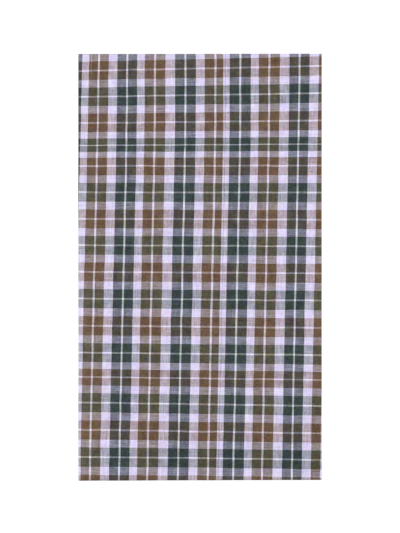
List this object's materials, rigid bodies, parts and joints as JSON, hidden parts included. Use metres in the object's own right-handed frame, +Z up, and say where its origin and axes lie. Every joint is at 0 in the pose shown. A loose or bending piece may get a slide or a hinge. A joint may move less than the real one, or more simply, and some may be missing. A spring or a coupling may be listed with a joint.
{
  "type": "folded longyi sarong",
  "caption": "Check cotton longyi sarong sewn into a tube and folded flat to a long rectangle, with the half fold at one end, the selvages at the other and the seam lengthwise.",
  "frame": {"origin": "the middle of the underside, on the surface that the folded cloth lies on", "axes": "+X across the folded cloth, +Y towards the half fold, +Z up through its thickness"},
  "size_m": [0.324, 0.569, 0.009],
  "materials": {
    "outer_sheet_left": "plain-woven cotton in a brown, dark green, lilac and white check, matte",
    "outer_sheet_right": "the same check cotton, matte",
    "hidden_layers": "the same check cotton, in folded layers"
  },
  "bodies": {
    "root": {"outer_left": "outer_sheet_left", "outer_right": "outer_sheet_right", "inner_layers": "hidden_layers"}
  },
  "joints": []
}
